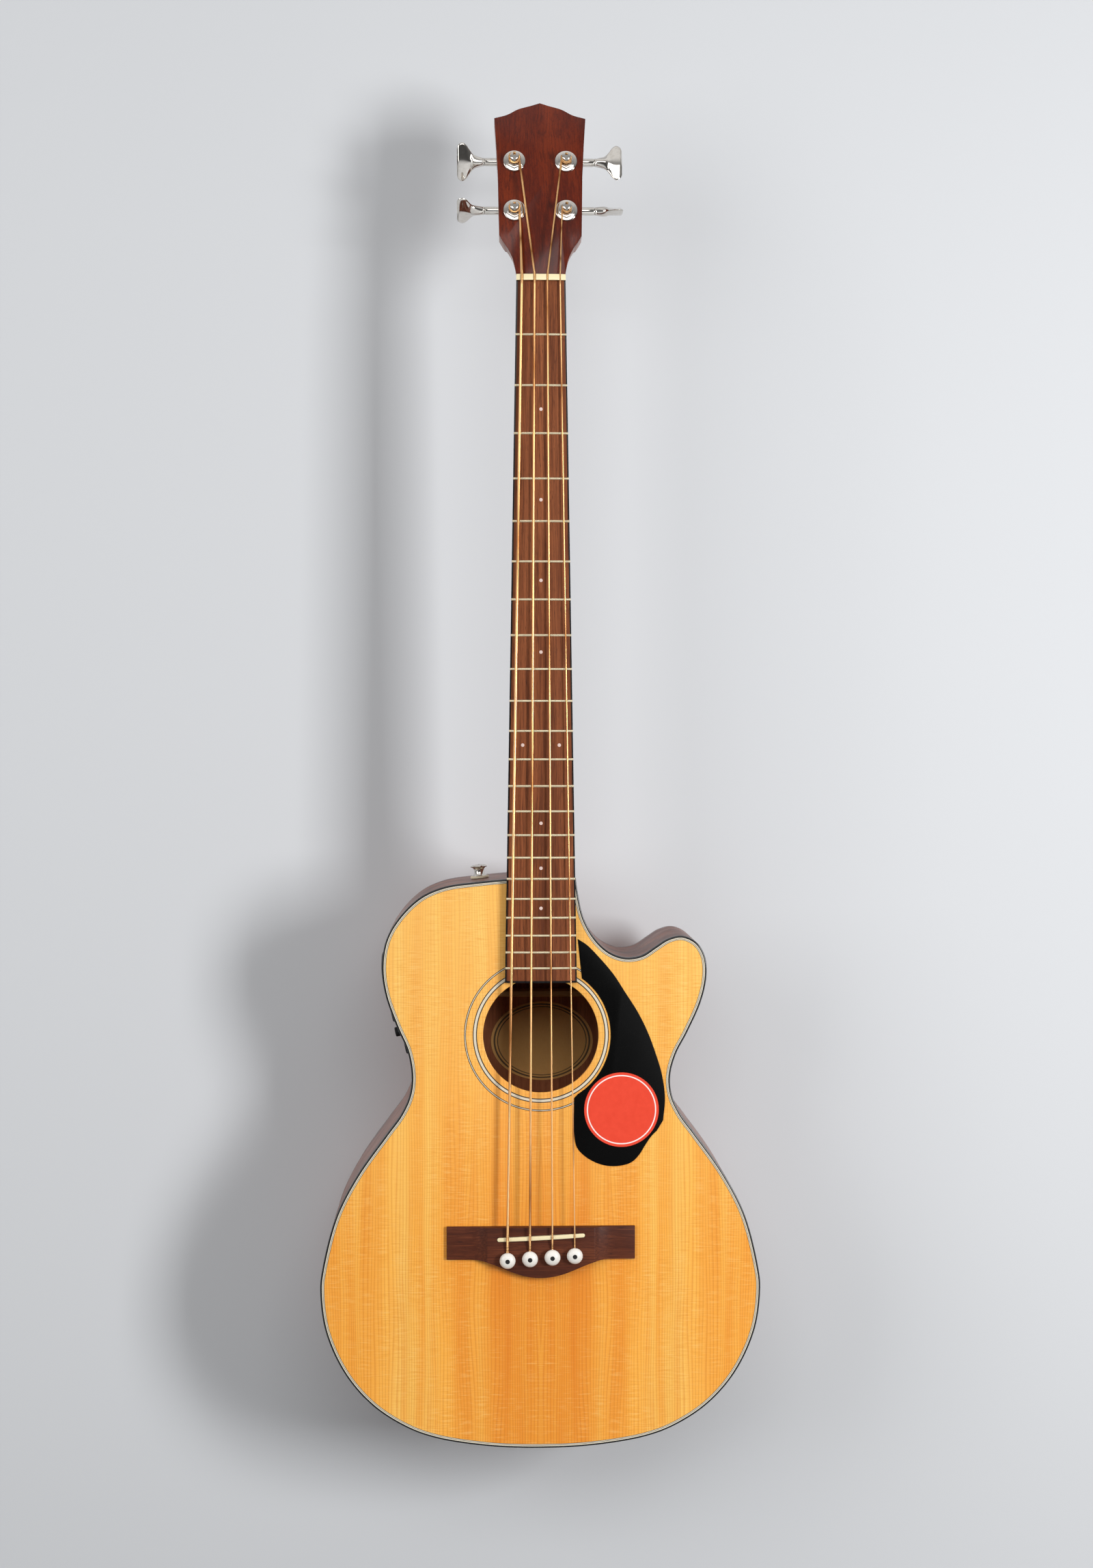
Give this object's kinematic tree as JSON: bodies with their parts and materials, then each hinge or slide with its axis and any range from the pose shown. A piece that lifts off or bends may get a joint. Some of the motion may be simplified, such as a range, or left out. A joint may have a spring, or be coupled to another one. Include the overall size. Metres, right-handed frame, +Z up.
{
  "type": "acoustic bass guitar",
  "caption": "Single-cutaway acoustic bass guitar: spruce top with soundhole, pin bridge, fretted neck, geared tuners, side preamp and end-pin jack.",
  "frame": {"origin": "middle of the nut's playing edge, on the plane of the top's outer face", "axes": "+X to the treble (cutaway) side, +Y from the front into the body, +Z up the neck to the headstock"},
  "size_m": [0.378, 0.1367, 1.1717],
  "materials": {
    "spruce": "gloss amber lacquer over vertical grain",
    "mahogany": "gloss lacquer, red brown",
    "rosewood": "open-pored satin",
    "bracewood": "bare, planed",
    "black_binding": "gloss",
    "black_panel": "satin",
    "cream": "polished cream",
    "white": "gloss",
    "chrome": "polished",
    "steel": "plain",
    "bronze": "wound"
  },
  "bodies": {
    "instrument": {"soundboard": "spruce", "back": "mahogany", "side_bass": "mahogany", "side_treble": "mahogany", "top_binding": "black_binding", "back_binding": "black_binding", "neck_block": "bracewood", "tail_block": "bracewood", "x_brace_bass": "bracewood", "x_brace_treble": "bracewood", "transverse_brace": "bracewood", "tone_bar_upper": "bracewood", "tone_bar_lower": "bracewood", "bridge_plate": "rosewood", "back_brace_1": "bracewood", "back_brace_2": "bracewood", "back_brace_3": "bracewood", "back_brace_4": "bracewood", "rosette": "white", "pickguard": "black_binding", "neck": "mahogany", "heel_cap": "black_binding", "fingerboard": "rosewood", "nut": "cream", "truss_rod": "steel", "bridge": "rosewood", "saddle": "cream", "string_e": "bronze", "string_a": "bronze", "string_d": "bronze", "string_g": "bronze", "tuner_bushing_e": "chrome", "tuner_bushing_a": "chrome", "tuner_bushing_d": "chrome", "tuner_bushing_g": "chrome", "tuner_housing_e": "chrome", "tuner_housing_a": "chrome", "tuner_housing_d": "chrome", "tuner_housing_g": "chrome", "preamp_panel": "black_panel", "strap_button": "chrome", "endpin_jack": "chrome"},
    "key_e": {"tuner_key_e": "chrome"},
    "key_a": {"tuner_key_a": "chrome"},
    "key_d": {"tuner_key_d": "chrome"},
    "key_g": {"tuner_key_g": "chrome"},
    "post_e": {"tuner_post_e": "chrome"},
    "post_a": {"tuner_post_a": "chrome"},
    "post_d": {"tuner_post_d": "chrome"},
    "post_g": {"tuner_post_g": "chrome"},
    "pin_e": {"bridge_pin_e": "white"},
    "pin_a": {"bridge_pin_a": "white"},
    "pin_d": {"bridge_pin_d": "white"},
    "pin_g": {"bridge_pin_g": "white"},
    "knob_volume": {"preamp_knob_volume": "black_panel"},
    "knob_treble": {"preamp_knob_treble": "black_panel"},
    "knob_bass": {"preamp_knob_bass": "black_panel"},
    "tuner_button": {"preamp_tuner_button": "black_panel"},
    "door": {"battery_door": "black_panel"},
    "rod_nut": {"truss_rod_nut": "steel"}
  },
  "joints": [
    {"name": "key_e_turn", "type": "hinge", "parent": "instrument", "child": "key_e", "pos_m": [-0.0222, 0.03287, 0.06732], "axis": [1, 0, 0], "continuous": true},
    {"name": "key_a_turn", "type": "hinge", "parent": "instrument", "child": "key_a", "pos_m": [-0.0222, 0.04225, 0.11143], "axis": [1, 0, 0], "continuous": true},
    {"name": "key_d_turn", "type": "hinge", "parent": "instrument", "child": "key_d", "pos_m": [0.0222, 0.04225, 0.11143], "axis": [1, 0, 0], "continuous": true},
    {"name": "key_g_turn", "type": "hinge", "parent": "instrument", "child": "key_g", "pos_m": [0.0222, 0.03287, 0.06732], "axis": [1, 0, 0], "continuous": true},
    {"name": "post_e_turn", "type": "hinge", "parent": "instrument", "child": "post_e", "pos_m": [-0.0222, 0.01216, 0.06272], "axis": [0, 0.9781, -0.2079], "continuous": true},
    {"name": "post_a_turn", "type": "hinge", "parent": "instrument", "child": "post_a", "pos_m": [-0.0222, 0.02154, 0.10684], "axis": [0, 0.9781, -0.2079], "continuous": true},
    {"name": "post_d_turn", "type": "hinge", "parent": "instrument", "child": "post_d", "pos_m": [0.0222, 0.02154, 0.10684], "axis": [0, 0.9781, -0.2079], "continuous": true},
    {"name": "post_g_turn", "type": "hinge", "parent": "instrument", "child": "post_g", "pos_m": [0.0222, 0.01216, 0.06272], "axis": [0, 0.9781, -0.2079], "continuous": true},
    {"name": "pin_e_pull", "type": "slide", "parent": "instrument", "child": "pin_e", "axis": [0, -1, 0], "range_m": [0, 0.026]},
    {"name": "pin_a_pull", "type": "slide", "parent": "instrument", "child": "pin_a", "axis": [0, -1, 0], "range_m": [0, 0.026]},
    {"name": "pin_d_pull", "type": "slide", "parent": "instrument", "child": "pin_d", "axis": [0, -1, 0], "range_m": [0, 0.026]},
    {"name": "pin_g_pull", "type": "slide", "parent": "instrument", "child": "pin_g", "axis": [0, -1, 0], "range_m": [0, 0.026]},
    {"name": "knob_volume_turn", "type": "hinge", "parent": "instrument", "child": "knob_volume", "pos_m": [-0.12281, 0.054, -0.66096], "axis": [-0.9737, 0, -0.2277], "range_deg": [-150, 150]},
    {"name": "knob_treble_turn", "type": "hinge", "parent": "instrument", "child": "knob_treble", "pos_m": [-0.12623, 0.054, -0.64636], "axis": [-0.9737, 0, -0.2277], "range_deg": [-150, 150]},
    {"name": "knob_bass_turn", "type": "hinge", "parent": "instrument", "child": "knob_bass", "pos_m": [-0.12964, 0.054, -0.63175], "axis": [-0.9737, 0, -0.2277], "range_deg": [-150, 150]},
    {"name": "tuner_button_press", "type": "slide", "parent": "instrument", "child": "tuner_button", "axis": [0.9737, 0, 0.2277], "range_m": [0, 0.001], "stiffness_N_per_m": 300},
    {"name": "battery_door_swing", "type": "hinge", "parent": "instrument", "child": "door", "pos_m": [-0.13976, 0.054, -0.58277], "axis": [0, 1, 0], "range_deg": [0, 90]},
    {"name": "rod_nut_turn", "type": "hinge", "parent": "instrument", "child": "rod_nut", "pos_m": [0, 0.0086, -0.578], "axis": [0, 0, 1], "range_deg": [-180, 180]}
  ],
  "couplings": [
    {"joint": "post_e_turn", "follows": "key_e_turn", "ratio": 0.0625},
    {"joint": "post_a_turn", "follows": "key_a_turn", "ratio": 0.0625},
    {"joint": "post_d_turn", "follows": "key_d_turn", "ratio": -0.0625},
    {"joint": "post_g_turn", "follows": "key_g_turn", "ratio": -0.0625}
  ]
}
